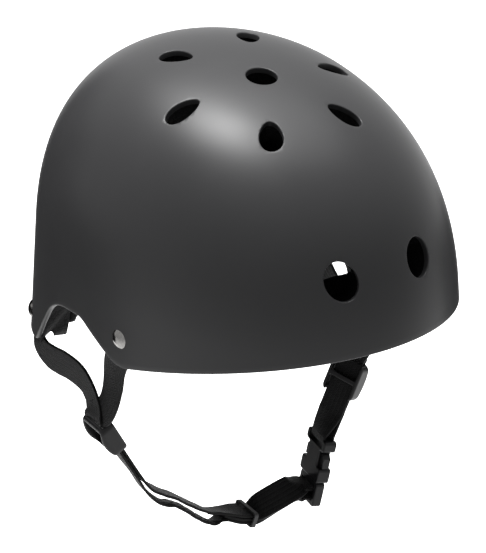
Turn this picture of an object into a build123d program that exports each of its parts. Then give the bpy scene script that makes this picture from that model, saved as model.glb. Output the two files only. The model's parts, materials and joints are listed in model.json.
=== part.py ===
"""Skateboard helmet: a vented hard shell over a foam liner, with pads and a buckled chin strap.

Millimetres, +Z up, as worn. The wearer faces -Y, the wearer's right is -X, and the origin is the
middle of the head at the level of the ears.
"""

from build123d import *
import math
import os

os.makedirs("parts", exist_ok=True)

# Shell, measured on its outer surface from its widest station
shell_front = 151.2
shell_rear = 128.8
shell_half_width = 102.1
dome_height = 104.0
belt_height = 27.5
crown_share = 0.634
flare_share = 0.072
skirt_drop = 100.0
shell_wall = 3.0
overrun = 25.0

# Rim and ear cuts, seen from the side
rim_front_height = 29.0
rim_slope_share = 0.325
ear_front = -42.5
ear_top_front = -9.0
ear_top_rear = 21.0
ear_rear = 52.0
ear_top_height = 9.0
ear_shoulder_height = 4.5
ear_corner_radius = 20.0
ear_roof_radius = 14.0
ear_shoulder_radius = 38.0
ear_heel_radius = 8.0

# Vents
vent_round_radius = 7.0
vent_point_radius = 2.4
vent_spacing = 12.4
crown_vent_length = 19.0
crown_vent_width = 14.0
crown_vent_forward = 26.0
brow_vent_width = 17.5
brow_vent_height = 21.0
liner_vent_margin = 2.5

# Foam liner
liner_gap = 0.4
liner_side = 14.5
liner_front = 25.0
liner_rear = 22.0
liner_top = 24.0
liner_rise = 5.0
recess_width = 22.0
recess_height = 30.0
recess_depth = 9.0

# Comfort pads and the hook-and-loop dots that hold them
pad_gap = 1.0
pad_thickness = 7.0
dot_radius = 9.0
dot_gap = 0.2
pad_corner = 9.0
brow_pad_height = 30.0
brow_pad_rise = 9.0
brow_pad_back = 62.0
nape_pad_height = 46.0
nape_pad_drop = 6.0
nape_pad_front = 36.0
side_pad_length = 62.0
side_pad_height = 26.0
side_pad_middle = 4.0
side_pad_level = 36.0
crown_pad_length = 96.0
crown_pad_width = 62.0
crown_pad_middle = -22.0

# Webbing
webbing_width = 16.0
webbing_thickness = 1.5
webbing_layer_gap = 0.6
webbing_clearance = 0.6
strap_tab = 8.0
strap_landing = 4.0
joint_gap = 0.2

# Strap rivets and their washers
front_rivet_y = -42.9
front_rivet_z = 11.2
rear_rivet_y = 72.0
rear_rivet_z = -30.0
front_strap_angle = 16.0
rear_strap_angle = -42.0
rivet_head_radius = 5.2
rivet_head_height = 2.2
rivet_shank_radius = 2.3
rivet_hole_clearance = 0.15
rivet_clinch_radius = 3.6
rivet_clinch_height = 1.0
washer_radius = 6.0
washer_thickness = 1.0

# Where the straps of each side run together, at the top of its slider
right_joint_x = -99.0
right_joint_y = -16.0
right_joint_z = -52.0
left_joint_x = 74.0
left_joint_y = -10.0
left_joint_z = -75.0

# How the straps lean from upright and how far they turn about themselves
right_lean_angle = 26.6
left_lean_angle = 25.7
left_turn_angle = 20.0
buckle_lean_angle = 13.7
buckle_turn_angle = -11.0
keeper_lean_angle = 70.0

# Straight runs of the doubled straps and of the bundle in the keeper
right_run = 42.0
left_run = 36.0
keeper_run = 11.0
tail_run = 22.0

# Strap sliders
slider_length = 23.5
slider_rail = 2.0
slider_bar = 3.0
slider_bar_thickness = 1.6
slider_corner = 4.0
slider_round = 1.2
strap_slot_clearance = 0.5

# Keeper loop
keeper_length = 2.6
keeper_wall = 1.0
keeper_clearance = 0.8
keeper_corner = 1.6

# Side-release buckle: housing, tongue and its two prongs
buckle_width = 23.0
buckle_thickness = 8.0
housing_length = 27.0
housing_wall = 1.5
housing_mouth_length = 9.5
housing_waist_length = 10.5
housing_waist_width = 13.0
housing_bar = 2.6
housing_bar_thickness = 2.6
housing_slot = 3.2
housing_loop_radius = 2.8
buckle_corner = 2.0
buckle_round = 0.8
tongue_plate = 3.6
tongue_bar = 2.8
tongue_bar_thickness = 2.4
tongue_slot = 3.1
tongue_rail = 2.4
tongue_thickness = 5.6
loop_reach = 5.5
guide_pin_width = 4.0
guide_pin_length = 16.5
prong_width = 2.6
prong_thickness = 4.2
prong_root = 7.2
prong_hinge_depth = 1.5
prong_pad_reach = 11.1
prong_nose = 2.2
prong_swing_room = 0.4
buckle_play = 0.3

# Places along the hanging chin strap, in shares of the span between the two joints, as distance
# from the right joint and drop below it
mouth_place_shares = (0.8452, 0.5413)
keeper_place_shares = (0.5661, 0.5881)
inner_bends_shares = ((0.1918, 0.3172), (0.2865, 0.4061), (0.3853, 0.4933), (0.4483, 0.5269))
outer_bends_shares = (
    (0.2195, 0.3957),
    (0.2906, 0.4518),
    (0.3639, 0.5165),
    (0.4171, 0.5546),
    (0.4737, 0.5713),
)
adjuster_bends_shares = ((0.6303, 0.5829), (0.7019, 0.5673), (0.7568, 0.5604))
adjuster_turn_shares = (0.7, 1.0, 0.7)
adjuster_turn_angle = 42.0
leg_stations = 5


def turned(plane, angle):
    """A plane turned about its own normal."""
    return Plane(plane.location * Rotation(0, 0, angle))


def rim_height(station):
    """Height of the shell's lower edge at a distance behind the widest station."""
    return rim_front_height - rim_slope_share * (station + shell_front)


def half_dome(half_width, reach, height, turn):
    """The front or the rear half of a crowned dome, flared below its belt."""
    crown = belt_height + height
    foot = belt_height - skirt_drop
    handle = crown_share * height
    with BuildPart() as half:
        with BuildSketch(Plane.XZ):
            with BuildLine():
                Bezier(
                    (0, crown),
                    (crown_share * half_width, crown),
                    (half_width - flare_share * handle, belt_height + handle),
                    (half_width, belt_height),
                )
                Polyline(
                    (half_width, belt_height),
                    (half_width + flare_share * skirt_drop, foot),
                    (0, foot),
                    (0, crown),
                )
            make_face()
        revolve(axis=Axis.Z, revolution_arc=turn)
        scale(by=(1, reach / half_width, 1))
    return half.part


def dome(side, front, rear, top):
    """The shell's outer form, moved inwards by a depth at each side."""
    half_width = shell_half_width - side
    height = dome_height - top
    with BuildPart() as whole:
        add(half_dome(half_width, shell_front - front, height, -180))
        add(half_dome(half_width, shell_rear - rear, height, 180))
    return whole.part


def under_rim(grow):
    """What lies under the rim and in the ear cuts, grown by a margin, right across the helmet."""
    reach = shell_front + overrun
    tail = shell_rear + overrun
    foot = belt_height - skirt_drop - overrun
    corners = (
        (-reach, rim_height(-reach)),
        (ear_front, rim_height(ear_front)),
        (ear_top_front, ear_top_height),
        (ear_top_rear, ear_shoulder_height),
        (ear_rear, rim_height(ear_rear)),
        (tail, rim_height(tail)),
    )
    radii = (ear_corner_radius, ear_roof_radius, ear_shoulder_radius, ear_heel_radius)
    with BuildPart() as cutter:
        with BuildSketch(Plane.YZ):
            with BuildLine():
                FilletPolyline(*corners, radius=radii)
                Polyline(corners[-1], (tail, foot), (-reach, foot), corners[0])
            make_face()
            if grow:
                offset(amount=grow)
        extrude(amount=shell_half_width + overrun, both=True)
    return cutter.part


def teardrop(grow):
    """Outline of a crown vent, its narrow end along +X."""
    with BuildSketch() as outline:
        with Locations((-vent_spacing / 2, 0)):
            Circle(vent_round_radius + grow)
        with Locations((vent_spacing / 2, 0)):
            Circle(vent_point_radius + grow)
        make_hull()
    return outline.sketch


def oval(length, width, grow):
    """Outline of an oval vent, its length along X."""
    with BuildSketch() as outline:
        Ellipse(length / 2 + grow, width / 2 + grow)
    return outline.sketch


# Vents aim from a point on the middle plane through the shell. Each row gives the place of that
# point and of the vent in shares of the shell's front length, half width and dome height
crown_vents_shares = (
    (-0.13, -0.46, 0.22, -0.46),
    (-0.13, -0.46, 0.45, -0.155),
    (-0.13, -0.46, 0.24, 0.155),
)
crown_vent_level_share = 0.92
brow_vents_shares = (
    (-0.40, 0.12, 0.24, -0.917, 0.39),
    (0.26, 0.02, 0.25, 0.79, 0.31),
)


def vent_cutters(grow):
    """One punch for each vent, grown by a margin."""
    centre = Vector(0, -crown_vent_forward, belt_height + dome_height)
    cutters = []
    for aim_y, aim_z, across, along in crown_vents_shares:
        for side in (-1, 1):
            aim = Vector(0, aim_y * shell_front, belt_height + aim_z * dome_height)
            mouth = Vector(
                side * across * shell_half_width,
                along * shell_front,
                belt_height + crown_vent_level_share * dome_height,
            )
            plane = Plane(aim, x_dir=centre - mouth, z_dir=mouth - aim)
            cutters.append(punch(plane, teardrop(grow)))
    for aim_y, aim_z, across, along, level in brow_vents_shares:
        for side in (-1, 1):
            aim = Vector(0, aim_y * shell_front, belt_height + aim_z * dome_height)
            mouth = Vector(
                side * across * shell_half_width,
                along * shell_front,
                belt_height + level * dome_height,
            )
            plane = Plane(aim, x_dir=Vector(0, 0, 1), z_dir=mouth - aim)
            cutters.append(punch(plane, oval(brow_vent_height, brow_vent_width, grow)))
    top = Plane(Vector(0, -crown_vent_forward, belt_height), x_dir=(1, 0, 0), z_dir=(0, 0, 1))
    cutters.append(punch(top, oval(crown_vent_length, crown_vent_width, grow)))
    return cutters


def punch(plane, outline):
    """A vent's outline driven from a plane out through the shell."""
    with BuildPart() as bit:
        with BuildSketch(plane):
            add(outline)
        extrude(amount=shell_front + overrun)
    return bit.part


outer_form = dome(0, 0, 0, 0)
inner_form = dome(shell_wall, shell_wall, shell_wall, shell_wall)
outer_surface = outer_form.shells()[0]


def rivet_seat(side, station, height, lay):
    """The plane on the shell's outside under a rivet's head, X pointing back up its strap."""
    axis = Axis((0, station, height), (side, 0, 0))
    hits = outer_surface.find_intersection_points(axis)
    point, normal = max(hits, key=lambda hit: side * hit[0].X)
    if normal.X * side < 0:
        normal = normal * -1
    return turned(Plane(point, x_dir=(0, 0, 1), z_dir=normal), side * lay)


rivet_sides = {"right": -1, "left": 1}
rivet_ends = {
    "front": (front_rivet_y, front_rivet_z, front_strap_angle),
    "rear": (rear_rivet_y, rear_rivet_z, rear_strap_angle),
}
rivet_seats = {}
for side_name, side in rivet_sides.items():
    for end_name, place in rivet_ends.items():
        rivet_seats[side_name, end_name] = rivet_seat(side, *place)

# Layers under a rivet head, from the shell's outside inwards
webbing_depth = shell_wall + webbing_clearance + webbing_thickness / 2
washer_depth = webbing_depth + webbing_thickness / 2 + washer_thickness / 2 + strap_slot_clearance / 2
clinch_depth = washer_depth + washer_thickness / 2

# Outer shell
with BuildPart() as outer_shell:
    add(outer_form)
    add(inner_form, mode=Mode.SUBTRACT)
    add(under_rim(0), mode=Mode.SUBTRACT)
    for cutter in vent_cutters(0):
        add(cutter, mode=Mode.SUBTRACT)
    for seat in rivet_seats.values():
        with BuildSketch(seat):
            Circle(rivet_shank_radius + rivet_hole_clearance)
        extrude(amount=-shell_wall - overrun, mode=Mode.SUBTRACT)

# Foam liner, recessed over each rivet and strap end
liner_depth = shell_wall + liner_gap
pad_side = liner_depth + liner_side
pad_front = liner_depth + liner_front
pad_rear = liner_depth + liner_rear
pad_top = liner_depth + liner_top
with BuildPart() as eps_liner:
    add(dome(liner_depth, liner_depth, liner_depth, liner_depth))
    add(dome(pad_side, pad_front, pad_rear, pad_top), mode=Mode.SUBTRACT)
    add(under_rim(liner_rise), mode=Mode.SUBTRACT)
    for cutter in vent_cutters(liner_vent_margin):
        add(cutter, mode=Mode.SUBTRACT)
    for seat in rivet_seats.values():
        with BuildSketch(seat):
            with Locations((-recess_height / 8, 0)):
                RectangleRounded(recess_height, recess_width, recess_width / 4)
        extrude(amount=-liner_depth - recess_depth, mode=Mode.SUBTRACT)


def pad_layer(gap, thickness):
    """The layer of a given thickness that lies a gap inside the liner."""
    inner = gap + thickness
    with BuildPart() as layer:
        add(dome(pad_side + gap, pad_front + gap, pad_rear + gap, pad_top + gap))
        add(
            dome(pad_side + inner, pad_front + inner, pad_rear + inner, pad_top + inner),
            mode=Mode.SUBTRACT,
        )
    return layer.part


pad_form = pad_layer(pad_gap, pad_thickness)
dot_form = pad_layer(dot_gap, pad_gap - 2 * dot_gap)


def rim_band(low_station, high_station, drop, rise):
    """A rounded band that follows the rim between two stations, right across the helmet."""
    corners = (
        (low_station, rim_height(low_station) - drop),
        (high_station, rim_height(high_station) - drop),
        (high_station, rim_height(high_station) + rise),
        (low_station, rim_height(low_station) + rise),
    )
    with BuildPart() as band:
        with BuildSketch(Plane.YZ):
            with BuildLine():
                FilletPolyline(*corners, radius=pad_corner, close=True)
            make_face()
        extrude(amount=shell_half_width + overrun, both=True)
    return band.part


# Comfort pads: brow, nape, sides and crown
brow_reach = shell_front + overrun
nape_reach = shell_rear + overrun
with BuildPart() as brow_pad:
    add(pad_form)
    add(
        rim_band(-brow_reach, -brow_pad_back, -brow_pad_rise, brow_pad_rise + brow_pad_height),
        mode=Mode.INTERSECT,
    )

with BuildPart() as nape_pad:
    add(pad_form)
    add(
        rim_band(nape_pad_front, nape_reach, nape_pad_drop, nape_pad_height - nape_pad_drop),
        mode=Mode.INTERSECT,
    )


def side_pad(side):
    """The pad above one ear."""
    with BuildPart() as pad:
        with BuildSketch(Plane.YZ):
            with Locations((side_pad_middle, side_pad_level)):
                RectangleRounded(side_pad_length, side_pad_height, pad_corner)
        extrude(amount=side * (shell_half_width + overrun))
        add(pad_form, mode=Mode.INTERSECT)
    return pad.part


with BuildPart() as crown_pad:
    with BuildSketch(Plane.XY.offset(belt_height)):
        with Locations((0, crown_pad_middle)):
            SlotOverall(crown_pad_length, crown_pad_width, rotation=90)
    extrude(amount=dome_height)
    add(pad_form, mode=Mode.INTERSECT)

# Hook-and-loop dots between the liner and the pads
with BuildPart() as hook_and_loop_dots:
    for across in (-1, 1):
        with BuildSketch(Plane.YZ):
            with Locations(
                (side_pad_middle, side_pad_level),
                (-brow_pad_back - pad_corner - dot_radius, rim_height(-brow_pad_back) + brow_pad_height),
                (nape_pad_front + pad_corner + dot_radius, rim_height(nape_pad_front)),
            ):
                Circle(dot_radius)
        extrude(amount=across * (shell_half_width + overrun))
    with BuildSketch(Plane.XY.offset(belt_height)):
        with Locations((0, crown_pad_middle - crown_pad_length / 4), (0, crown_pad_middle + crown_pad_length / 4)):
            Circle(dot_radius)
    extrude(amount=dome_height)
    add(dot_form, mode=Mode.INTERSECT)


def strap_rivet():
    """A tubular rivet: domed head outside, clinched foot inside."""
    dome_radius = (rivet_head_radius**2 + rivet_head_height**2) / (2 * rivet_head_height)
    middle = rivet_head_radius * math.sqrt(0.5)
    middle_height = math.sqrt(dome_radius**2 - middle**2) - dome_radius + rivet_head_height
    foot = -clinch_depth - rivet_clinch_height
    with BuildPart() as rivet:
        with BuildSketch(Plane.XZ):
            with BuildLine():
                ThreePointArc((0, rivet_head_height), (middle, middle_height), (rivet_head_radius, 0))
                Polyline(
                    (rivet_head_radius, 0),
                    (rivet_shank_radius, 0),
                    (rivet_shank_radius, -clinch_depth),
                    (rivet_clinch_radius, -clinch_depth),
                    (rivet_clinch_radius, foot),
                    (0, foot),
                    (0, rivet_head_height),
                )
            make_face()
        revolve(axis=Axis.Z)
    return rivet.part


def rivet_washer():
    """The washer that spreads the rivet's pull over the webbing."""
    with BuildPart(Plane.XY.offset(-washer_depth)) as washer:
        Cylinder(washer_radius, washer_thickness)
        Hole(rivet_shank_radius + rivet_hole_clearance)
    return washer.part


with BuildPart() as strap_rivets:
    for seat in rivet_seats.values():
        add(seat.location * strap_rivet())

with BuildPart() as rivet_washers:
    for seat in rivet_seats.values():
        add(seat.location * rivet_washer())

# The chin strap hangs in the upright plane through the two joints
right_joint = Vector(right_joint_x, right_joint_y, right_joint_z)
left_joint = Vector(left_joint_x, left_joint_y, left_joint_z)
span_line = Vector(left_joint.X - right_joint.X, left_joint.Y - right_joint.Y, 0)
span = span_line.length
outward = span_line.normalized()
up = Vector(0, 0, 1)
facing = up.cross(outward)
hanging_plane = Plane(right_joint, x_dir=outward, z_dir=facing * -1)
layer_pitch = webbing_thickness + webbing_layer_gap


def hanging(along_share, drop_share):
    """A point of the hanging plane, in shares of the span between the two joints."""
    return right_joint + outward * (along_share * span) + up * (-drop_share * span)


def leaning(lean):
    """The direction down the hanging plane that leans outwards by an angle."""
    return outward * math.sin(math.radians(lean)) - up * math.cos(math.radians(lean))


def strap_frame(place, heading, turn):
    """Plane across a strap: X along its width, Y towards the chin, Z along it."""
    return turned(Plane(place, x_dir=facing, z_dir=heading), turn)


def moved(frame, inward, along):
    """A strap frame shifted towards the chin and along the strap."""
    place = frame.origin + frame.y_dir * inward + frame.z_dir * along
    return Plane(place, x_dir=frame.x_dir, z_dir=frame.z_dir)


def webbing(planes):
    """Flat webbing lofted through its cross-sections, each in its own plane."""
    with BuildPart() as strip:
        for plane in planes:
            with BuildSketch(plane):
                Rectangle(webbing_width, webbing_thickness)
        loft()
    return strip.part


right_frame = strap_frame(right_joint, leaning(right_lean_angle), 0)
left_frame = strap_frame(left_joint, leaning(-left_lean_angle) * -1, left_turn_angle)
buckle_frame = strap_frame(hanging(*mouth_place_shares), leaning(-buckle_lean_angle) * -1, buckle_turn_angle)
keeper_frame = strap_frame(hanging(*keeper_place_shares), leaning(keeper_lean_angle), 0)

# Each leg of the harness: its rivet, the frame it ends in, its layer there, its bends in shares of
# its straight run as distance along, outwards, forwards and up
legs_shares = {
    "right_front_strap": (
        "right",
        "front",
        right_frame,
        1,
        ((0.45, -0.03, 0.05, 0.0), (0.85, -0.02, 0.05, 0.0)),
    ),
    "right_rear_strap": (
        "right",
        "rear",
        right_frame,
        -1,
        ((0.3, 0.04, 0.0, 0.0), (0.65, 0.03, 0.0, 0.06)),
    ),
    "left_front_strap": ("left", "front", left_frame, 1, ((0.5, -0.02, 0.02, 0.0),)),
    "left_rear_strap": ("left", "rear", left_frame, -1, ((0.5, 0.06, 0.0, -0.02),)),
}


def harness_leg(side_name, end_name, frame, layer, bends):
    """One leg of webbing, from its rivet to the joint of its side."""
    side = rivet_sides[side_name]
    seat = rivet_seats[side_name, end_name]
    ends_up = frame.z_dir.Z > 0
    arrival = frame.z_dir * (-1 if ends_up else 1)
    landing = frame.origin + frame.y_dir * (layer * layer_pitch / 2) - arrival * joint_gap
    finish = landing - arrival * strap_landing
    leaving = seat.x_dir * -1
    pinned = seat.origin - seat.z_dir * webbing_depth
    start = pinned + leaving * strap_tab
    chord = finish - start
    run = chord.length
    points = [start]
    for along, outwards, forwards, rise in bends:
        bend = Vector(side * outwards * run, -forwards * run, rise * run)
        points.append(start + chord * along + bend)
    points.append(finish)
    path = Spline(*points, tangents=(leaving, arrival))
    planes = []
    for station in range(leg_stations + 1):
        share = station / leg_stations
        heading = path % share
        face = seat.z_dir * (1 - share) - frame.y_dir * share
        across = heading.cross(face) * -side
        planes.append(Plane(path @ share, x_dir=across, z_dir=heading))
    tab = moved(planes[0], 0, -2 * strap_tab)
    pin = moved(planes[0], 0, -strap_tab)
    foot = moved(planes[-1], 0, strap_landing)
    with BuildPart() as leg:
        add(webbing((tab, pin, *planes, foot)))
        with BuildSketch(seat):
            Circle(rivet_shank_radius + rivet_hole_clearance)
        extrude(amount=-liner_depth - recess_depth, mode=Mode.SUBTRACT)
    return leg.part


with BuildPart() as right_front_strap:
    add(harness_leg(*legs_shares["right_front_strap"]))

with BuildPart() as right_rear_strap:
    add(harness_leg(*legs_shares["right_rear_strap"]))

with BuildPart() as left_front_strap:
    add(harness_leg(*legs_shares["left_front_strap"]))

with BuildPart() as left_rear_strap:
    add(harness_leg(*legs_shares["left_rear_strap"]))


def strand(layer, keeper_layer, bends_shares):
    """A strand of the chin strap, from the right joint through its bends to the keeper."""
    side_step = layer * layer_pitch / 2
    top = moved(right_frame, side_step, joint_gap)
    bend = moved(right_frame, side_step, right_run)
    entry = moved(keeper_frame, keeper_layer * layer_pitch, -keeper_run)
    end = moved(keeper_frame, keeper_layer * layer_pitch, keeper_length / 2 - joint_gap)
    middle = [hanging(*place) for place in bends_shares]
    stops = [hanging_plane.to_local_coords(place) for place in (bend.origin, *middle, entry.origin)]
    first = hanging_plane.to_local_coords(top.origin)
    last = hanging_plane.to_local_coords(end.origin)
    with BuildPart() as band:
        with BuildSketch(hanging_plane):
            with BuildLine():
                Line(first, stops[0])
                Spline(*stops, tangents=(stops[0] - first, last - stops[-1]))
                Line(stops[-1], last)
            trace(line_width=webbing_thickness)
        extrude(amount=webbing_width / 2, both=True)
    return band.part


with BuildPart() as inner_chin_strand:
    add(strand(1, 1, inner_bends_shares))

with BuildPart() as outer_chin_strand:
    add(strand(-1, -1, outer_bends_shares))


ladder_pitch = (tongue_bar + tongue_slot) / 2
ladder_height = -buckle_play - tongue_plate - tongue_slot - tongue_bar / 2


def tongue_leg(layer):
    """Where one layer of the webbing meets its loop on the tongue."""
    place = (
        buckle_frame.origin
        + buckle_frame.z_dir * (ladder_height + layer * ladder_pitch)
        + buckle_frame.y_dir * (loop_reach + joint_gap)
    )
    return Plane(place, x_dir=buckle_frame.x_dir, z_dir=buckle_frame.y_dir * -1)


def adjuster_layer(layer):
    """One layer of the webbing between the keeper and the tongue."""
    begin = moved(keeper_frame, (layer - 1) * layer_pitch / 2, keeper_length / 2)
    spots = [begin.origin]
    for place in adjuster_bends_shares:
        spots.append(hanging(*place))
    goal = tongue_leg(layer)
    spots.append(goal.origin)
    planes = [begin]
    for index, turn_share in enumerate(adjuster_turn_shares):
        heading = spots[index + 2] - spots[index]
        frame = strap_frame(spots[index + 1], heading, turn_share * adjuster_turn_angle)
        planes.append(moved(frame, layer * layer_pitch / 2, 0))
    planes.append(goal)
    return webbing(planes)


with BuildPart() as adjuster_webbing:
    add(adjuster_layer(-1))

with BuildPart() as webbing_tail:
    add(webbing((moved(keeper_frame, 0, -tail_run), moved(keeper_frame, 0, keeper_length / 2))))
    add(adjuster_layer(1))

# Keeper loop round the three layers of the bundle
with BuildPart() as keeper_form:
    with BuildSketch():
        RectangleRounded(
            webbing_width + 2 * (keeper_clearance + keeper_wall),
            3 * webbing_thickness + 2 * (webbing_layer_gap + keeper_clearance + keeper_wall),
            keeper_corner,
        )
        Rectangle(
            webbing_width + 2 * keeper_clearance,
            3 * webbing_thickness + 2 * (webbing_layer_gap + keeper_clearance),
            mode=Mode.SUBTRACT,
        )
    extrude(amount=keeper_length / 2, both=True)
with BuildPart() as strap_keeper:
    add(keeper_frame.location * keeper_form.part)

# Strap slider: two rails, a bar over each end outside and a bar across the middle inside
channel_width = webbing_width + 2 * strap_slot_clearance
channel_half_depth = webbing_thickness + webbing_layer_gap / 2 + strap_slot_clearance
slider_half_depth = channel_half_depth + slider_bar_thickness
slider_window = slider_length - 2 * slider_bar
with BuildPart() as slider_form:
    with BuildSketch(Plane.XZ):
        RectangleRounded(channel_width + 2 * slider_rail, slider_length, slider_corner)
    extrude(amount=slider_half_depth, both=True)
    fillet(slider_form.faces().group_by(Axis.Y)[0].edges(), slider_round)
    fillet(slider_form.faces().group_by(Axis.Y)[-1].edges(), slider_round)
    with BuildSketch():
        Rectangle(channel_width, 2 * channel_half_depth)
    extrude(amount=slider_length, both=True, mode=Mode.SUBTRACT)
    with BuildSketch(Plane.XZ):
        Rectangle(channel_width, slider_window)
    extrude(amount=slider_length, mode=Mode.SUBTRACT)
    with BuildSketch(Plane.XZ):
        with Locations((0, -slider_length / 2), (0, slider_length / 2)):
            Rectangle(channel_width, slider_length - slider_bar)
    extrude(amount=-slider_length, mode=Mode.SUBTRACT)

slider_start = joint_gap + slider_length / 2
with BuildPart() as right_strap_slider:
    add(moved(right_frame, 0, slider_start).location * slider_form.part)

with BuildPart() as left_strap_slider:
    add(moved(left_frame, 0, -slider_start).location * slider_form.part)

# Buckle housing: a wide mouth, a waist open at both sides, and a bar for the webbing
waist_top = housing_mouth_length + housing_waist_length
cavity_top = waist_top - housing_wall
bar_middle = housing_length - housing_bar / 2
housing_levels = (
    (0, housing_mouth_length, buckle_width),
    (housing_mouth_length, waist_top, housing_waist_width),
    (waist_top, housing_length, buckle_width),
)
with BuildPart() as housing_form:
    with BuildSketch(Plane.XZ):
        for low, high, width in housing_levels:
            with Locations((0, (low + high) / 2)):
                Rectangle(width, high - low)
        fillet(vertices(), buckle_corner)
    extrude(amount=buckle_thickness / 2, both=True)
    fillet(housing_form.faces().group_by(Axis.Y)[0].edges(), buckle_round)
    fillet(housing_form.faces().group_by(Axis.Y)[-1].edges(), buckle_round)
    with BuildSketch():
        Rectangle(buckle_width - 2 * housing_wall, buckle_thickness - 2 * housing_wall)
    extrude(amount=cavity_top, mode=Mode.SUBTRACT)
    with BuildSketch(Plane.XZ):
        with Locations((0, bar_middle - (housing_bar + housing_slot) / 2)):
            Rectangle(channel_width, housing_slot)
    extrude(amount=buckle_thickness, both=True, mode=Mode.SUBTRACT)
    for side in (-1, 1):
        with BuildSketch(Plane.XZ.offset(side * housing_bar_thickness / 2)):
            with Locations((0, housing_length)):
                Rectangle(channel_width, 2 * housing_bar)
        extrude(amount=side * buckle_thickness, mode=Mode.SUBTRACT)
with BuildPart() as buckle_housing:
    add(buckle_frame.location * housing_form.part)

# Buckle tongue: a ladder for the webbing, sockets for the prongs and a guide pin
tongue_length = tongue_plate + 2 * (tongue_slot + tongue_bar)
tongue_middle = -buckle_play - tongue_length / 2
hinge_height = -buckle_play - prong_hinge_depth
pin_foot = -buckle_play - tongue_plate / 2
with BuildPart() as tongue_form:
    with BuildSketch(Plane.XZ):
        with Locations((0, tongue_middle)):
            RectangleRounded(channel_width + 2 * tongue_rail, tongue_length, buckle_corner)
    extrude(amount=tongue_thickness / 2, both=True)
    fillet(tongue_form.faces().group_by(Axis.Y)[0].edges(), buckle_round)
    fillet(tongue_form.faces().group_by(Axis.Y)[-1].edges(), buckle_round)
    with BuildSketch(Plane.XZ):
        with Locations((0, ladder_height - ladder_pitch), (0, ladder_height + ladder_pitch)):
            Rectangle(channel_width, tongue_slot)
    extrude(amount=tongue_thickness, both=True, mode=Mode.SUBTRACT)
    for side in (-1, 1):
        with BuildSketch(Plane.XZ.offset(side * tongue_bar_thickness / 2)):
            with Locations((0, ladder_height)):
                Rectangle(channel_width, tongue_bar + tongue_slot)
        extrude(amount=side * tongue_thickness, mode=Mode.SUBTRACT)
    with BuildSketch(Plane.XZ):
        for across in (-prong_root, prong_root):
            with Locations((across, hinge_height)):
                Circle(prong_width / 2 + buckle_play / 2)
            with Locations((across, hinge_height + prong_hinge_depth)):
                Rectangle(prong_width + 2 * prong_swing_room, 2 * prong_hinge_depth)
    extrude(amount=(prong_thickness + buckle_play) / 2, both=True, mode=Mode.SUBTRACT)
    with BuildSketch(Plane.XZ):
        with Locations((0, (pin_foot + guide_pin_length) / 2)):
            Rectangle(guide_pin_width, guide_pin_length - pin_foot)
    extrude(amount=prong_thickness / 2, both=True)
with BuildPart() as buckle_tongue:
    add(buckle_frame.location * tongue_form.part)


def prong(side):
    """A springy prong, hinged at its root, with a thumb pad that catches the housing's mouth."""
    inner = side * (prong_root - prong_width / 2)
    outer = side * (prong_root + prong_width / 2)
    pad = side * prong_pad_reach
    pad_low = housing_mouth_length + buckle_play
    tip = cavity_top - buckle_play
    with BuildPart() as springy:
        with BuildSketch(Plane.XZ):
            with Locations((side * prong_root, hinge_height)):
                Circle(prong_width / 2)
            with BuildLine():
                Polyline(
                    (inner, hinge_height),
                    (inner, tip),
                    (pad - side * prong_nose, tip),
                    (pad, tip - prong_nose),
                    (pad, pad_low),
                    (outer, pad_low),
                    (outer, hinge_height),
                    close=True,
                )
            make_face()
        extrude(amount=prong_thickness / 2, both=True)
    return springy.part


with BuildPart() as front_prong:
    add(buckle_frame.location * prong(-1))

with BuildPart() as rear_prong:
    add(buckle_frame.location * prong(1))

# Webbing looped round the tongue's middle bar
with BuildPart() as tongue_loop_form:
    with BuildSketch(Plane.YZ):
        with BuildLine():
            Line((loop_reach, ladder_height + ladder_pitch), (0, ladder_height + ladder_pitch))
            ThreePointArc(
                (0, ladder_height + ladder_pitch),
                (-ladder_pitch, ladder_height),
                (0, ladder_height - ladder_pitch),
            )
            Line((0, ladder_height - ladder_pitch), (loop_reach, ladder_height - ladder_pitch))
        trace(line_width=webbing_thickness)
    extrude(amount=webbing_width / 2, both=True)
with BuildPart() as tongue_webbing_loop:
    add(buckle_frame.location * tongue_loop_form.part)

# Webbing looped round the housing's bar, doubled up to the left joint
loop_top = housing_length + joint_gap
with BuildPart() as housing_loop_form:
    with BuildSketch(Plane.YZ):
        with BuildLine():
            Line((-housing_loop_radius, loop_top), (-housing_loop_radius, bar_middle))
            ThreePointArc(
                (-housing_loop_radius, bar_middle),
                (0, bar_middle - housing_loop_radius),
                (housing_loop_radius, bar_middle),
            )
            Line((housing_loop_radius, bar_middle), (housing_loop_radius, loop_top))
        trace(line_width=webbing_thickness)
    extrude(amount=webbing_width / 2, both=True)
with BuildPart() as buckle_webbing:
    add(buckle_frame.location * housing_loop_form.part)
    for layer in (-1, 1):
        foot = moved(buckle_frame, layer * housing_loop_radius, loop_top)
        neck = moved(left_frame, layer * layer_pitch / 2, -left_run)
        rise = moved(foot, 0, webbing_thickness)
        dip = moved(neck, 0, -webbing_thickness)
        add(webbing((foot, rise, dip, neck)))
        add(webbing((neck, moved(left_frame, layer * layer_pitch / 2, -joint_gap))))

with BuildPart() as right_side_pad:
    add(side_pad(-1))

with BuildPart() as left_side_pad:
    add(side_pad(1))

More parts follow.
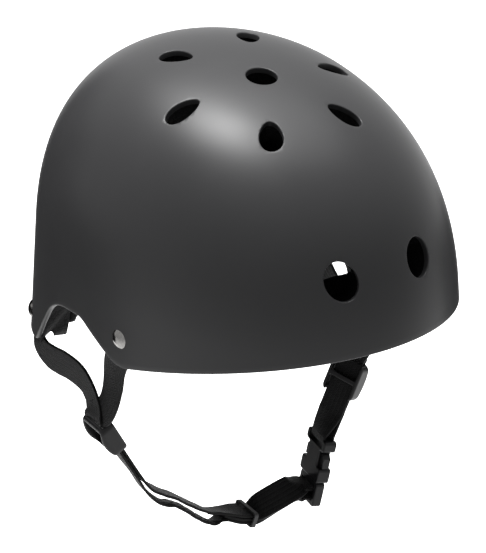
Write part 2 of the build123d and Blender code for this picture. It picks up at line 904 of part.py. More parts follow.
outer_shell.part.label = "outer_shell"
export_step(outer_shell.part, "parts/outer_shell.step")
eps_liner.part.label = "eps_liner"
export_step(eps_liner.part, "parts/eps_liner.step")
brow_pad.part.label = "brow_pad"
export_step(brow_pad.part, "parts/brow_pad.step")
nape_pad.part.label = "nape_pad"
export_step(nape_pad.part, "parts/nape_pad.step")
right_side_pad.part.label = "right_side_pad"
export_step(right_side_pad.part, "parts/right_side_pad.step")
left_side_pad.part.label = "left_side_pad"
export_step(left_side_pad.part, "parts/left_side_pad.step")
crown_pad.part.label = "crown_pad"
export_step(crown_pad.part, "parts/crown_pad.step")
hook_and_loop_dots.part.label = "hook_and_loop_dots"
export_step(hook_and_loop_dots.part, "parts/hook_and_loop_dots.step")
strap_rivets.part.label = "strap_rivets"
export_step(strap_rivets.part, "parts/strap_rivets.step")
rivet_washers.part.label = "rivet_washers"
export_step(rivet_washers.part, "parts/rivet_washers.step")
right_front_strap.part.label = "right_front_strap"
export_step(right_front_strap.part, "parts/right_front_strap.step")
right_rear_strap.part.label = "right_rear_strap"
export_step(right_rear_strap.part, "parts/right_rear_strap.step")
left_front_strap.part.label = "left_front_strap"
export_step(left_front_strap.part, "parts/left_front_strap.step")
left_rear_strap.part.label = "left_rear_strap"
export_step(left_rear_strap.part, "parts/left_rear_strap.step")
right_strap_slider.part.label = "right_strap_slider"
export_step(right_strap_slider.part, "parts/right_strap_slider.step")
left_strap_slider.part.label = "left_strap_slider"
export_step(left_strap_slider.part, "parts/left_strap_slider.step")
inner_chin_strand.part.label = "inner_chin_strand"
export_step(inner_chin_strand.part, "parts/inner_chin_strand.step")
outer_chin_strand.part.label = "outer_chin_strand"
export_step(outer_chin_strand.part, "parts/outer_chin_strand.step")
adjuster_webbing.part.label = "adjuster_webbing"
export_step(adjuster_webbing.part, "parts/adjuster_webbing.step")
webbing_tail.part.label = "webbing_tail"
export_step(webbing_tail.part, "parts/webbing_tail.step")
tongue_webbing_loop.part.label = "tongue_webbing_loop"
export_step(tongue_webbing_loop.part, "parts/tongue_webbing_loop.step")
strap_keeper.part.label = "strap_keeper"
export_step(strap_keeper.part, "parts/strap_keeper.step")
buckle_tongue.part.label = "buckle_tongue"
export_step(buckle_tongue.part, "parts/buckle_tongue.step")
front_prong.part.label = "front_prong"
export_step(front_prong.part, "parts/front_prong.step")
rear_prong.part.label = "rear_prong"
export_step(rear_prong.part, "parts/rear_prong.step")
buckle_housing.part.label = "buckle_housing"
export_step(buckle_housing.part, "parts/buckle_housing.step")
buckle_webbing.part.label = "buckle_webbing"
export_step(buckle_webbing.part, "parts/buckle_webbing.step")
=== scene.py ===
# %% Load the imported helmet
import json
import math
from bisect import bisect_left

import bpy
from mathutils import Matrix, Vector
from mathutils.bvhtree import BVHTree
from mathutils.geometry import interpolate_bezier
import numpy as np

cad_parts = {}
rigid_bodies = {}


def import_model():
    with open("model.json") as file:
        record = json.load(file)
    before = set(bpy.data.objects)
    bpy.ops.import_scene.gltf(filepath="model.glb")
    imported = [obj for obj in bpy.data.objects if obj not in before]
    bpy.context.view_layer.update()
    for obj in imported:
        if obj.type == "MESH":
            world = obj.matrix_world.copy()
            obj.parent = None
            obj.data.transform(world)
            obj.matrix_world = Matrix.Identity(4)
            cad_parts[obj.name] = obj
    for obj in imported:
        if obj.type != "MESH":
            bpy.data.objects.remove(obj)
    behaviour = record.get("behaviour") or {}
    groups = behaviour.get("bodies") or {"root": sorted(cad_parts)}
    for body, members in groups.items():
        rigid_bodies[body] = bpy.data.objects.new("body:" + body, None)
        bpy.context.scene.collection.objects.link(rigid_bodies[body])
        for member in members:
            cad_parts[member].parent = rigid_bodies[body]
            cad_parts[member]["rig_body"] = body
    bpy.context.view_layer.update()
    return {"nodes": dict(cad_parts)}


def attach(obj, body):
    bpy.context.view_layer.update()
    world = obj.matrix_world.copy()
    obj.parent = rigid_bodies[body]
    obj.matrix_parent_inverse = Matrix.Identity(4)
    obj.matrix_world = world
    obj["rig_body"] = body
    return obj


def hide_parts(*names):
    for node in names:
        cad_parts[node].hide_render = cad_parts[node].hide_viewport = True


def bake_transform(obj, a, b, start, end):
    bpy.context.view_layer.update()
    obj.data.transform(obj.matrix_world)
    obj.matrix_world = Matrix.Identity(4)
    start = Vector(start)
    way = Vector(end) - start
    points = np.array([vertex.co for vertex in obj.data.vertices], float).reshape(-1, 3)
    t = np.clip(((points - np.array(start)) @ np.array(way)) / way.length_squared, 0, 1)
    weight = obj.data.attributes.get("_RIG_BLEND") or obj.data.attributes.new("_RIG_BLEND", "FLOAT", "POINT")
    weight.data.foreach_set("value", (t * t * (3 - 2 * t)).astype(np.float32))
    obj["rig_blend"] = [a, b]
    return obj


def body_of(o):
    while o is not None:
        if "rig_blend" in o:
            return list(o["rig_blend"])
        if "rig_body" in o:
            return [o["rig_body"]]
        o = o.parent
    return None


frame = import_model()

MM = 0.001
print("nodes:", len(frame["nodes"]))

# %% [markdown]
# ## Camera
# The picture was taken with a long lens from the wearer's right front, a little above. A long lens
# keeps the shell's outline close to its true form, so the camera stands over a metre away. It could
# be placed by eye. Here its place comes from fitting the shell's outline, rim and vents.

# %% Camera
camera_azimuth = -32.63
camera_elevation = 29.80
bpy.ops.object.camera_add(
    location=(-0.66975, -1.05410, 0.71282),
    rotation=(math.radians(90 - camera_elevation), 0, math.radians(camera_azimuth)),
)
camera = bpy.context.object
camera.data.lens = 169.49
camera.data.sensor_width = 36
bpy.context.scene.camera = camera
print("camera lens:", camera.data.lens, "mm")


# %% [markdown]
# ## Tools of the bench
# Blender's operators act on whatever is selected, so each step first puts everything down and takes
# up one piece. These few helpers do that, and apply a modifier as soon as it is set.

# %% Selecting and finishing a piece
def put_down():
    """Leave nothing selected and no piece in edit mode."""
    active = bpy.context.view_layer.objects.active
    if active and active.mode != "OBJECT":
        bpy.ops.object.mode_set(mode="OBJECT")
    bpy.ops.object.select_all(action="DESELECT")


def take_up(piece):
    """Select one piece and nothing else."""
    put_down()
    piece.select_set(True)
    bpy.context.view_layer.objects.active = piece
    return piece


def finish_with(piece, kind, **settings):
    """Put one modifier on a piece and apply it."""
    take_up(piece)
    modifier = piece.modifiers.new(kind.lower(), kind)
    for key, value in settings.items():
        setattr(modifier, key, value)
    bpy.ops.object.modifier_apply(modifier=modifier.name)


def round_edges(piece, width, segments):
    """Round every edge sharper than 60 degrees, by a width in millimetres."""
    limit = math.radians(60)
    finish_with(
        piece, "BEVEL", width=width * MM, segments=segments, limit_method="ANGLE", angle_limit=limit
    )


def close_up(piece, gap=0.00001):
    """Join points that lie together and turn every face outwards."""
    take_up(piece)
    bpy.ops.object.mode_set(mode="EDIT")
    bpy.ops.mesh.select_all(action="SELECT")
    bpy.ops.mesh.remove_doubles(threshold=gap)
    bpy.ops.mesh.normals_make_consistent(inside=False)
    bpy.ops.object.mode_set(mode="OBJECT")


def smooth(piece, angle):
    """Shade smooth, with every edge sharper than the angle left crisp."""
    take_up(piece)
    bpy.ops.object.shade_smooth_by_angle(angle=math.radians(angle))


def settle(piece):
    """Put a piece's place into its mesh, so that its object is at the origin."""
    take_up(piece)
    bpy.ops.object.transform_apply(location=True, rotation=True, scale=True)


def hand_over(piece, finish, slot, *nodes):
    """Give a piece its material, and let it stand for its CAD nodes. Its slot is not used."""
    piece.data.materials.clear()
    piece.data.materials.append(finish)
    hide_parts(*nodes)
    triangles = sum(len(face.vertices) - 2 for face in piece.data.polygons)
    print(piece.name, "triangles:", triangles)


# %% [markdown]
# ## Materials
# A material is a small network of nodes. One function adds a node, sets what it is given and links
# what comes from other nodes. Colours are written as hex values, as a designer would, and one
# function turns them to the linear numbers that Blender works in.

# %% Material helpers
def colour(hex_text):
    """A linear colour from an sRGB hex value."""
    parts = [int(hex_text[i : i + 2], 16) / 255 for i in (1, 3, 5)]
    linear = [p / 12.92 if p <= 0.04045 else ((p + 0.055) / 1.055) ** 2.4 for p in parts]
    return (*linear, 1.0)


def add(tree, kind, settings=None, inputs=None):
    """Add a node, set its own settings, and set or link its inputs."""
    made = tree.nodes.new(kind)
    for key, value in (settings or {}).items():
        setattr(made, key, value)
    for key, value in (inputs or {}).items():
        if isinstance(value, bpy.types.NodeSocket):
            tree.links.new(value, made.inputs[key])
        else:
            made.inputs[key].default_value = value
    return made


def new_finish(name, **constants):
    """A material with its shader's plain numbers set. Returns it with its tree and shader."""
    finish = bpy.data.materials.new(name)
    finish.use_nodes = True
    tree = finish.node_tree
    shader = tree.nodes["Principled BSDF"]
    for key, value in constants.items():
        shader.inputs[key.replace("_", " ")].default_value = value
    return finish, tree, shader


def painted(tree, shader, share, low, high):
    """Two colours, mixed by a share that comes from a pattern, for the shader's base colour."""
    mix = add(tree, "ShaderNodeMix", {"data_type": "RGBA"}, {0: share, 6: colour(low), 7: colour(high)})
    tree.links.new(mix.outputs[2], shader.inputs["Base Color"])


def rubbed(tree, shader, share, low, high):
    """A pattern's value, from nought to one, spread between two roughnesses."""
    spread = add(tree, "ShaderNodeMapRange", None, {"Value": share, "To Min": low, "To Max": high})
    tree.links.new(spread.outputs["Result"], shader.inputs["Roughness"])


def bumped(tree, shader, height, depth):
    """Relief of a real depth, in metres, fed to the shader's normal."""
    relief = add(tree, "ShaderNodeBump", None, {"Height": height, "Distance": depth, "Strength": 1.0})
    tree.links.new(relief.outputs["Normal"], shader.inputs["Normal"])


# %% [markdown]
# Patterns are given by the size of their features on the real thing, in millimetres, and read the
# object's own coordinates, so they stay in place and in scale whatever the mesh is.

# %% Pattern helpers
def noise(tree, size, detail):
    """Soft noise with features of a size in millimetres."""
    place = add(tree, "ShaderNodeTexCoord").outputs["Object"]
    inputs = {"Vector": place, "Scale": 1 / (size * MM), "Detail": detail}
    return add(tree, "ShaderNodeTexNoise", None, inputs).outputs["Fac"]


def cells(tree, size, feature="F1"):
    """Distances in a pattern of cells of a size in millimetres."""
    place = add(tree, "ShaderNodeTexCoord").outputs["Object"]
    inputs = {"Vector": place, "Scale": 1 / (size * MM)}
    return add(tree, "ShaderNodeTexVoronoi", {"feature": feature}, inputs).outputs["Distance"]


def worked_out(tree, operation, *values):
    """The result of a Math node."""
    return add(tree, "ShaderNodeMath", {"operation": operation}, dict(enumerate(values))).outputs[0]


def share_of(tree, value, most):
    """A value as a share of the most it can be, no more than one."""
    return add(tree, "ShaderNodeMapRange", None, {"Value": value, "From Max": most}).outputs["Result"]


# %% [markdown]
# ### The shell: moulded ABS, satin
# The shell is one thick injection moulding in coloured ABS. The mould is lightly blasted, so the skin
# is satin: highlights are broad and soft, with no mirror images. Fine grit of about 0.5 mm breaks
# them up, and roughness wanders a little where hands have rubbed it.

# %% Shell finish
shell_abs, tree, shader = new_finish("moulded_abs_satin", IOR=1.27)
wear = noise(tree, 35, 4.0)
painted(tree, shader, wear, "#29292a", "#2d2d2e")
rubbed(tree, shader, wear, 0.36, 0.44)
bumped(tree, shader, noise(tree, 0.5, 2.0), 0.01 * MM)

# %% [markdown]
# ### The liner: expanded polystyrene
# Steam swells small beads until they press together, so the face of the foam is a pattern of flat
# cells of about 3 mm with fine grooves between them. A Voronoi pattern has just that form.

# %% Liner finish
liner_eps, tree, shader = new_finish("expanded_polystyrene", IOR=1.2, Roughness=0.75)
groove = share_of(tree, cells(tree, 3.2, "DISTANCE_TO_EDGE"), 0.12)
painted(tree, shader, groove, "#030303", "#0d0d0e")
bumped(tree, shader, groove, 0.15 * MM)

# %% [markdown]
# ### The pads: brushed tricot on foam
# The comfort pads are foam faced with a brushed knit. The knit's loops are under half a millimetre,
# too fine to show, so they are drawn at 0.9 mm, and the brushed nap gives a sheen at the edges.

# %% Pad finish
pad_tricot, tree, shader = new_finish(
    "brushed_tricot", IOR=1.2, Roughness=0.9, Sheen_Weight=0.06, Sheen_Roughness=0.5
)
painted(tree, shader, noise(tree, 6, 5.0), "#060607", "#121213")
bumped(tree, shader, cells(tree, 0.9), 0.2 * MM)

# %% [markdown]
# ### The straps: woven polypropylene webbing
# Flat webbing is woven in a herringbone of thick warp yarns, with the weft hidden inside. It shows as
# rows of short slanted ribs. The pattern follows the strap, so it reads a map that each strap carries,
# in metres across and along.

# %% Webbing finish
yarn_pitch = 1.33 * MM
pick_pitch = 1.1 * MM
webbing_weave, tree, shader = new_finish("woven_polypropylene", IOR=1.2, Roughness=0.62, Sheen_Weight=0.03)
strap_map = add(tree, "ShaderNodeUVMap", {"uv_map": "along_strap"}).outputs["UV"]
apart = add(tree, "ShaderNodeSeparateXYZ", None, {"Vector": strap_map})
column = worked_out(tree, "PINGPONG", apart.outputs["X"], yarn_pitch)
slant = worked_out(tree, "MULTIPLY_ADD", column, 0.9, apart.outputs["Y"])
rib = worked_out(tree, "PINGPONG", slant, pick_pitch / 2)
rib_share = share_of(tree, rib, pick_pitch / 2)
edge_share = share_of(tree, column, yarn_pitch / 3)
weave = worked_out(tree, "MULTIPLY", rib_share, edge_share)
painted(tree, shader, weave, "#020202", "#1a1a1b")
bumped(tree, shader, weave, 0.25 * MM)

# %% [markdown]
# ### Buckle and sliders: moulded acetal
# Acetal is the slippery, springy plastic of buckles. It comes out of a spark-eroded mould with a fine
# even grain and a low gloss.

# %% Buckle finish
buckle_acetal, tree, shader = new_finish("moulded_acetal", IOR=1.27)
rub = noise(tree, 9, 3.0)
painted(tree, shader, rub, "#0f0f10", "#171718")
rubbed(tree, shader, rub, 0.3, 0.42)
bumped(tree, shader, noise(tree, 0.35, 1.0), 0.012 * MM)

# %% [markdown]
# ### Rivets and washers: nickel-plated steel
# The rivet heads are pressed from steel and plated, so they are bright with faint marks of handling.

# %% Metal finish
rivet_nickel, tree, shader = new_finish("nickel_plated_steel", Metallic=1.0)
scuffs = noise(tree, 1.2, 6.0)
painted(tree, shader, scuffs, "#626160", "#8b8a88")
rubbed(tree, shader, scuffs, 0.12, 0.26)

# %% [markdown]
# ### Keeper and hook-and-loop
# The keeper is a narrow elastic loop in matt black rubber. The fastener dots are nylon, a felt of tiny
# loops and hooks about a millimetre apart.

# %% Keeper and fastener finishes
keeper_rubber, tree, shader = new_finish("moulded_rubber", IOR=1.5, Roughness=0.6)
bloom = noise(tree, 2.5, 4.0)
painted(tree, shader, bloom, "#0d0d0e", "#1a1a1b")
bumped(tree, shader, bloom, 0.03 * MM)

dot_nylon, tree, shader = new_finish("hook_and_loop_nylon", Roughness=0.85, Sheen_Weight=0.2)
hooks = cells(tree, 1.1)
painted(tree, shader, hooks, "#1c1c1e", "#060607")
bumped(tree, shader, hooks, 0.3 * MM)

# %% [markdown]
# ## Finishes on the CAD nodes
# The rigid pieces whose CAD shape is right keep it and only get their material.

# %% Dress the CAD nodes
node_finishes = {
    "outer_shell": shell_abs,
    "eps_liner": liner_eps,
    "hook_and_loop_dots": dot_nylon,
    "strap_rivets": rivet_nickel,
    "rivet_washers": rivet_nickel,
    "strap_keeper": keeper_rubber,
}
for name, node in frame["nodes"].items():
    finish = node_finishes.get(name)
    if finish is None:
        words = name.split("_")
        if "pad" in words:
            finish = pad_tricot
        elif "webbing" in words or "strand" in words or name.endswith("_strap"):
            finish = webbing_weave
        else:
            finish = buckle_acetal
    node.data.materials.clear()
    node.data.materials.append(finish)
print("finishes:", len(bpy.data.materials))

# %% [markdown]
# ## The dome that every layer shares
# Shell, foam liner and pads are the same dome, moved inwards. Its profile is one Bezier curve from the
# crown to the belt, with a slightly flared skirt below. The front half is drawn longer than the rear.
# A sphere primitive wouldn't do, because the rim and the ear cuts have to be one clean edge loop that
# a bevel can round. So a flat grid is wrapped round the dome, and its last row is laid on the rim.

# %% Dome measures, in millimetres
shell_front = 151.2
shell_rear = 128.8
shell_half_width = 102.1
dome_height = 104.0
belt_height = 27.5
crown_share = 0.634
flare_share = 0.072
skirt_drop = 100.0
shell_wall = 3.0
print("shell:", shell_front + shell_rear, "mm long,", 2 * shell_half_width, "mm wide")

# %% [markdown]
# ### The rim from the side
# Seen from the side, the rim is a line with rounded corners: the brow, the cut above the ear and the
# nape. It is kept as a row of heights, one for each half millimetre along the helmet. The liner has
# the same rim, lifted squarely away from the shell's.

# %% Rim line
rim_corners = ((-176.2, 37.1), (-42.5, -6.33), (-9.0, 9.0), (21.0, 4.5), (52.0, -37.04), (153.8, -70.1))
rim_radii = (20.0, 14.0, 38.0, 8.0)
rim_start = -170.0
rim_step = 0.5
rim_count = 640


def rounded_line(corners, radii, pieces=12):
    """A line through corners, each inner corner rounded by an arc of its radius."""
    corners = [Vector(corner) for corner in corners]
    line = [corners[0]]
    for before, corner, after, radius in zip(corners, corners[1:], corners[2:], radii):
        arriving, leaving = (corner - before).normalized(), (after - corner).normalized()
        turn = arriving.angle(leaving)
        back_off = radius * math.tan(turn / 2)
        start, end = corner - arriving * back_off, corner + leaving * back_off
        middle = (leaving - arriving).normalized() * (radius / math.cos(turn / 2)) + corner
        for step in range(pieces + 1):
            spoke = (start - middle).lerp(end - middle, step / pieces)
            line.append(middle + spoke.normalized() * radius)
    line.append(corners[-1])
    return line


def rim_heights(rise):
    """The rim's heights at even steps, lifted squarely by a rise."""
    line = rounded_line(rim_corners, rim_radii)
    fine = []
    for low, high in zip(line, line[1:]):
        count = max(1, round((high - low).length))
        fine += [low.lerp(high, step / count) for step in range(count)]
    heights = []
    for step in range(rim_count):
        station = rim_start + step * rim_step
        near = [p for p in fine if abs(p.x - station) <= max(rise, 0.6)]
        if rise:
            heights.append(max(p.y + math.sqrt(max(0.0, rise**2 - (p.x - station) ** 2)) for p in near))
        else:
            index = max(i for i, p in enumerate(line) if p.x <= station)
            low, high = line[index], line[index + 1]
            heights.append(low.y + (high.y - low.y) * (station - low.x) / (high.x - low.x))
    return heights


def rim_at(heights, station):
    """Height of the rim at a station along the helmet."""
    place = min(max((station - rim_start) / rim_step, 0), len(heights) - 1.001)
    low = int(place)
    return heights[low] + (heights[low + 1] - heights[low]) * (place - low)


# %% [markdown]
# ### Profile and sheet
# The sheet's columns are meridians that start at the crown. Each one ends where it meets the rim, and
# its points are spread evenly over that run, so the grid has no slivers at the edge.

# %% Profile and sheet
def profile_line(side, top):
    """The dome's profile at its widest station, from crown to foot, as radius and height."""
    half_width = shell_half_width - side
    crown = belt_height + dome_height - top
    handle = crown_share * (dome_height - top)
    bends = (
        (0, crown, 0),
        (crown_share * half_width, crown, 0),
        (half_width - flare_share * handle, belt_height + handle, 0),
        (half_width, belt_height, 0),
    )
    line = interpolate_bezier(*[Vector(bend) for bend in bends], 200)
    foot = Vector((half_width + flare_share * skirt_drop, belt_height - skirt_drop, 0))
    return line + [line[-1].lerp(foot, step / 80) for step in range(1, 81)]


def dome_sheet(name, insets, heights, columns=384, rows=56):
    """A dome moved inwards at its side, front, rear and top, wrapped from a flat grid."""
    side, front, rear, top = insets
    half_width = shell_half_width - side
    line = profile_line(side, top)
    put_down()
    bpy.ops.mesh.primitive_grid_add(x_subdivisions=columns, y_subdivisions=rows, size=1)
    sheet = bpy.context.object
    sheet.name = name
    meridians = {}
    for vertex in sheet.data.vertices:
        column = round((vertex.co.x + 0.5) * columns)
        row = round((vertex.co.y + 0.5) * rows)
        if column not in meridians:
            turn = 2 * math.pi * column / columns
            reach = shell_front - front if math.cos(turn) > 0 else shell_rear - rear
            across, along = math.sin(turn), -math.cos(turn) * reach / half_width
            points = [Vector((across * p.x, along * p.x, p.y)) for p in line]
            run, runs = 0.0, [0.0]
            for low, high in zip(points, points[1:]):
                drop_low = low.z - rim_at(heights, low.y)
                drop_high = high.z - rim_at(heights, high.y)
                if drop_high <= 0:
                    run += (high - low).length * drop_low / (drop_low - drop_high)
                    runs.append(run)
                    break
                run += (high - low).length
                runs.append(run)
            meridians[column] = points, runs
        points, runs = meridians[column]
        goal = runs[-1] * row / rows
        index = min(max(bisect_left(runs, goal), 1), len(runs) - 1)
        share = (goal - runs[index - 1]) / (points[index] - points[index - 1]).length
        vertex.co = points[index - 1].lerp(points[index], share) * MM
    close_up(sheet)
    print(name, "points:", len(sheet.data.vertices))
    return sheet


# %% [markdown]
# ## The outer shell
# The real shell is injection moulded, three millimetres thick, with a rounded rim. The sheet gets its
# thickness from Solidify and its rim from Bevel. Measured places, such as a rivet's seat, are found by
# casting a ray on the bare sheet first.

# %% Shell skin and wall
outer_shell = dome_sheet("outer_shell_skin", (0, 0, 0, 0), rim_heights(0))
skin = BVHTree.FromObject(outer_shell, bpy.context.evaluated_depsgraph_get())
finish_with(outer_shell, "SOLIDIFY", thickness=shell_wall * MM, offset=-1, use_even_offset=True)
round_edges(outer_shell, 0.9, 3)


# %% [markdown]
# ## Vents
# Eleven vents are cut through shell and liner: six teardrops round an oval at the crown, two ovals at
# the brow and two behind. Each cutter is a stack of outlines that opens out near the skin, so the cut
# leaves a rounded lip like the moulded one. A bevel after the cut would catch on the small faces there.

# %% Vent measures and outlines
vent_half_length = 10.0
vent_half_width = 6.0
vent_narrowing = 0.18
vent_shift = -1.3
outline_turns = [2 * math.pi * step / 60 for step in range(60)]


def teardrop(grow):
    """Egg outline of a crown vent, its narrow end along +X."""
    length, width = vent_half_length + grow, vent_half_width + grow
    points = []
    for turn in outline_turns:
        narrowed = width * math.sin(turn) * (1 - vent_narrowing * math.cos(turn))
        points.append((vent_shift + length * math.cos(turn), narrowed))
    return points


def oval(length, width):
    """An outline for an oval vent, its length along X."""
    def outline(grow):
        along, across = length / 2 + grow, width / 2 + grow
        return [(along * math.cos(turn), across * math.sin(turn)) for turn in outline_turns]

    return outline


crown_oval = oval(18.0, 16.0)
low_oval = oval(21.0, 17.0)

# %% [markdown]
# The outline is drawn on a plane inside the head and thrown out to the skin by rays. The ring of hits
# is then moved in and out along the vent's direction. Near the skin each ring is a little larger than
# the last, which gives the lip.

# %% A cutter that follows the skin
def stacked(name, rings):
    """A closed solid through rings of points, capped at both ends."""
    mesh = bpy.data.meshes.new(name)
    piece = bpy.data.objects.new(name, mesh)
    bpy.context.collection.objects.link(piece)
    count = len(rings[0])
    faces = []
    for base in range(0, (len(rings) - 1) * count, count):
        for i in range(count):
            after = (i + 1) % count
            faces.append((base + i, base + after, base + count + after, base + count + i))
    faces += [tuple(range(count)), tuple(range((len(rings) - 1) * count, len(rings) * count))]
    mesh.from_pydata([point for ring in rings for point in ring], [], faces)
    close_up(piece)
    return piece


def vent_cutter(aim, mouth, toward, outline, grow, levels):
    """A cutter from inside the head to the skin. Each of its levels has its own flare."""
    outwards = (mouth - aim).normalized()
    across = (toward - outwards * toward.dot(outwards)).normalized()
    side = outwards.cross(across)
    rings = []
    for level, flare in levels:
        ring = []
        for u, v in outline(grow + flare):
            start = (aim + across * u + side * v) * MM
            hit = skin.ray_cast(start, outwards)[0]
            ring.append(hit + outwards * level * MM)
        rings.append(ring)
    return stacked("vent_cutter", rings)


# %% [markdown]
# A vent's place is given in shares of the dome's width, length and height. The crown vents point at
# the oval in their middle. The low vents stand upright, leaning a little outwards.

# %% Eleven cutters
crown_oval_forward = 26.0
crown_aim = (-0.13, -0.46)
crown_mouths = ((0.22, -0.46), (0.45, -0.155), (0.21, 0.13))
crown_mouth_level = 0.92
low_vents = ((-0.40, 0.12, 0.24, -0.917, 0.39), (0.26, 0.02, 0.25, 0.79, 0.31))
low_vent_lean = 0.4
lip_levels = (-0.6, -0.45, -0.3, -0.17, -0.07, 0.0, 0.06, 0.5, 6.0)
lip_flares = (0.0, 0.03, 0.1, 0.2, 0.34, 0.5, 0.7, 2.4, 2.4)


def dome_point(across, along, level):
    """A point given in shares of the dome's half width, front length and height."""
    return Vector((across * shell_half_width, along * shell_front, belt_height + level * dome_height))


def vent_cutters(depth, grow):
    """One cutter for each vent, down to a depth below the skin."""
    levels = [(-depth, 0.0), *zip(lip_levels, lip_flares)]
    centre = Vector((0, -crown_oval_forward, belt_height + dome_height))
    below = Vector((0, -crown_oval_forward, belt_height))
    cutters = []
    for across, along in crown_mouths:
        for side in (-1, 1):
            aim, mouth = dome_point(0, *crown_aim), dome_point(side * across, along, crown_mouth_level)
            cutters.append(vent_cutter(aim, mouth, centre - mouth, teardrop, grow, levels))
    for aim_along, aim_level, across, along, level in low_vents:
        for side in (-1, 1):
            aim, mouth = dome_point(0, aim_along, aim_level), dome_point(side * across, along, level)
            upright = Vector((side * low_vent_lean, 0, 1))
            cutters.append(vent_cutter(aim, mouth, upright, low_oval, grow, levels))
    cutters.append(vent_cutter(below, centre, Vector((0, 1, 0)), crown_oval, grow, levels))
    return cutters


# %% [markdown]
# ## Rivet seats
# A ray cast sideways from the middle of the helmet finds where each rivet sits, and the skin's normal
# there. From these comes a small frame: Z points out of the shell, and X lies across the strap's end.

# %% Rivet seats
rivet_sides = {"right": -1, "left": 1}
rivet_ends = {"front": (-42.9, 11.2, 16.0), "rear": (72.0, -30.0, -42.0)}


def turned(seat, angle):
    """A frame turned about its own Z."""
    return seat @ Matrix.Rotation(math.radians(angle), 4, "Z")


def framed(origin, x_dir, z_dir):
    """A frame, in millimetres, from its origin, an X direction and a Z direction."""
    z_dir = z_dir.normalized()
    x_dir = (x_dir - z_dir * x_dir.dot(z_dir)).normalized()
    axes = Matrix((x_dir, z_dir.cross(x_dir), z_dir)).transposed().to_4x4()
    return Matrix.Translation(origin) @ axes


def placed(piece, seat):
    """Put a piece made at the origin, in millimetres, into a frame."""
    piece.data.transform(Matrix.Scale(MM, 4) @ seat)


rivet_seats = {}
for side_name, side in rivet_sides.items():
    for end_name, (station, height, lay) in rivet_ends.items():
        hit, normal = skin.ray_cast(Vector((0, station, height)) * MM, Vector((side, 0, 0)))[:2]
        if normal.x * side < 0:
            normal = -normal
        rivet_seats[side_name, end_name] = turned(framed(hit / MM, Vector((0, 0, 1)), normal), side * lay)
print("rivet seats:", len(rivet_seats))

# %% [markdown]
# ## Holes in the shell
# All cutters of a piece are joined and taken away in one exact boolean. Cutting one by one would be
# slower, and the faces left by one cut would disturb the next.

# %% Cut the shell
shell_vent_depth = 9.0
rivet_bore_depth = 12.0
rivet_bore_radius = 2.45


def bored(depth):
    """A pin at each rivet seat, to bore its hole."""
    pins = []
    for seat in rivet_seats.values():
        put_down()
        bpy.ops.mesh.primitive_cylinder_add(vertices=48, radius=rivet_bore_radius, depth=2 * depth)
        placed(bpy.context.object, seat)
        pins.append(bpy.context.object)
    return pins


def cut(piece, cutters):
    """Join the cutters, take them away from a piece, and discard them."""
    put_down()
    for cutter in cutters:
        cutter.select_set(True)
    bpy.context.view_layer.objects.active = cutters[0]
    bpy.ops.object.join()
    joined = bpy.context.object
    finish_with(piece, "BOOLEAN", operation="DIFFERENCE", solver="EXACT", object=joined)
    bpy.data.objects.remove(joined, do_unlink=True)


cut(outer_shell, vent_cutters(shell_vent_depth, 0) + bored(rivet_bore_depth))
smooth(outer_shell, 24)
hand_over(outer_shell, shell_abs, "shell_plastic", "outer_shell")
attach(outer_shell, "helmet")

# %% [markdown]
# ## The foam liner
# The liner is moulded to sit in the shell, so it is the same dome twice, bridged at the rim. Its vents
# are a little wider than the shell's. Over each rivet it has a pocket, where the strap's end lies.

# %% Liner
liner_inset = shell_wall + 0.4
liner_thicknesses = (14.5, 25.0, 22.0, 24.0)
liner_rim_rise = 5.0
heel_depth = 10.0
heel_start = (43.0, 50.0)
heel_end = (66.0, 92.0)


def ramp(value, start, end):
    """From nought to one between two values, with soft ends."""
    share = min(max((value - start) / (end - start), 0.0), 1.0)
    return share * share * (3 - 2 * share)


# Behind each ear the foam reaches a little below the shell
liner_heights = rim_heights(liner_rim_rise)
for step in range(rim_count):
    station = rim_start + step * rim_step
    liner_heights[step] -= heel_depth * ramp(station, *heel_start) * (1 - ramp(station, *heel_end))
eps_liner = dome_sheet("eps_liner_foam", [liner_inset] * 4, liner_heights)
hollow_insets = [liner_inset + thickness for thickness in liner_thicknesses]
hollow = dome_sheet("liner_hollow", hollow_insets, liner_heights)
take_up(eps_liner)
hollow.select_set(True)
bpy.ops.object.join()
bpy.ops.object.mode_set(mode="EDIT")
bpy.ops.mesh.select_mode(type="EDGE")
bpy.ops.mesh.select_all(action="DESELECT")
bpy.ops.mesh.select_non_manifold()
bpy.ops.mesh.bridge_edge_loops()
close_up(eps_liner)
round_edges(eps_liner, 1.6, 3)

# %% [markdown]
# A pocket is a rounded block, larger than the strap's end and the rivet's foot that lie in it.

# %% Pockets and vents of the liner
pocket_size = (30.0, 22.0, 24.8)
pocket_corner = 4.0
pocket_shift = -3.75
liner_vent_depth = 45.0
liner_vent_growth = 2.5

pockets = []
for seat in rivet_seats.values():
    put_down()
    bpy.ops.mesh.primitive_cube_add(size=1)
    pocket = bpy.context.object
    pocket.data.transform(Matrix.Diagonal((*pocket_size, 1)))
    finish_with(pocket, "BEVEL", width=pocket_corner, segments=4, limit_method="ANGLE")
    placed(pocket, seat @ Matrix.Translation((pocket_shift, 0, 0)))
    pockets.append(pocket)
cut(eps_liner, vent_cutters(liner_vent_depth, liner_vent_growth) + pockets)
smooth(eps_liner, 24)
hand_over(eps_liner, liner_eps, "liner_foam", "eps_liner")
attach(eps_liner, "helmet")

# %% [markdown]
# ## Straps
# Webbing bends over its face and twists, but hardly turns in its own plane. Each strap is a flat grid
# laid along a smooth path: every station of the path gives its middle and the way across it. A curve
# with a bevelled profile would be simpler, but its twist can't be set station by station.

# %% A strap from its stations
webbing_width = 16.0
webbing_thickness = 1.5
webbing_row = 0.8
layer_pitch = 2.1


